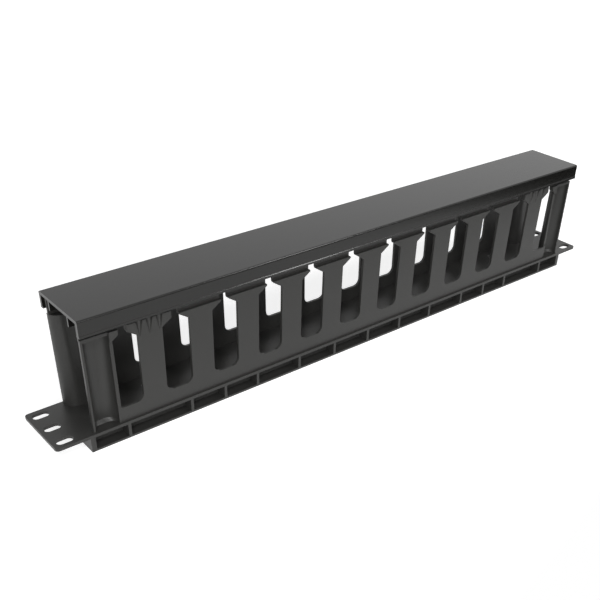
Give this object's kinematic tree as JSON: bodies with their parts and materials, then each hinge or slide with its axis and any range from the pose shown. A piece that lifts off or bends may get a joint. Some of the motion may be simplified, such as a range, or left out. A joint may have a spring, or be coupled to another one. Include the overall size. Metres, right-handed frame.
{
  "type": "horizontal cable manager",
  "caption": "One-unit 19-inch horizontal cable manager: a slotted finger duct with end ears and a lift-off snap cover.",
  "frame": {"origin": "centre of the rear face, where the duct lies on its back", "axes": "+X along the 19-inch width, +Y across the one-unit height, +Z out of the rack front towards the cover"},
  "size_m": [0.4826, 0.0474, 0.0875],
  "materials": {
    "duct_plastic": "fine-textured satin moulding, charcoal black",
    "cover_plastic": "smooth satin moulding, charcoal black"
  },
  "bodies": {
    "duct": {"duct_body": "duct_plastic"},
    "cover": {"cover": "cover_plastic"}
  },
  "joints": [
    {"name": "cover_lift", "type": "slide", "parent": "duct", "child": "cover", "axis": [0, 0, 1], "range_m": [0, 0.05]}
  ]
}
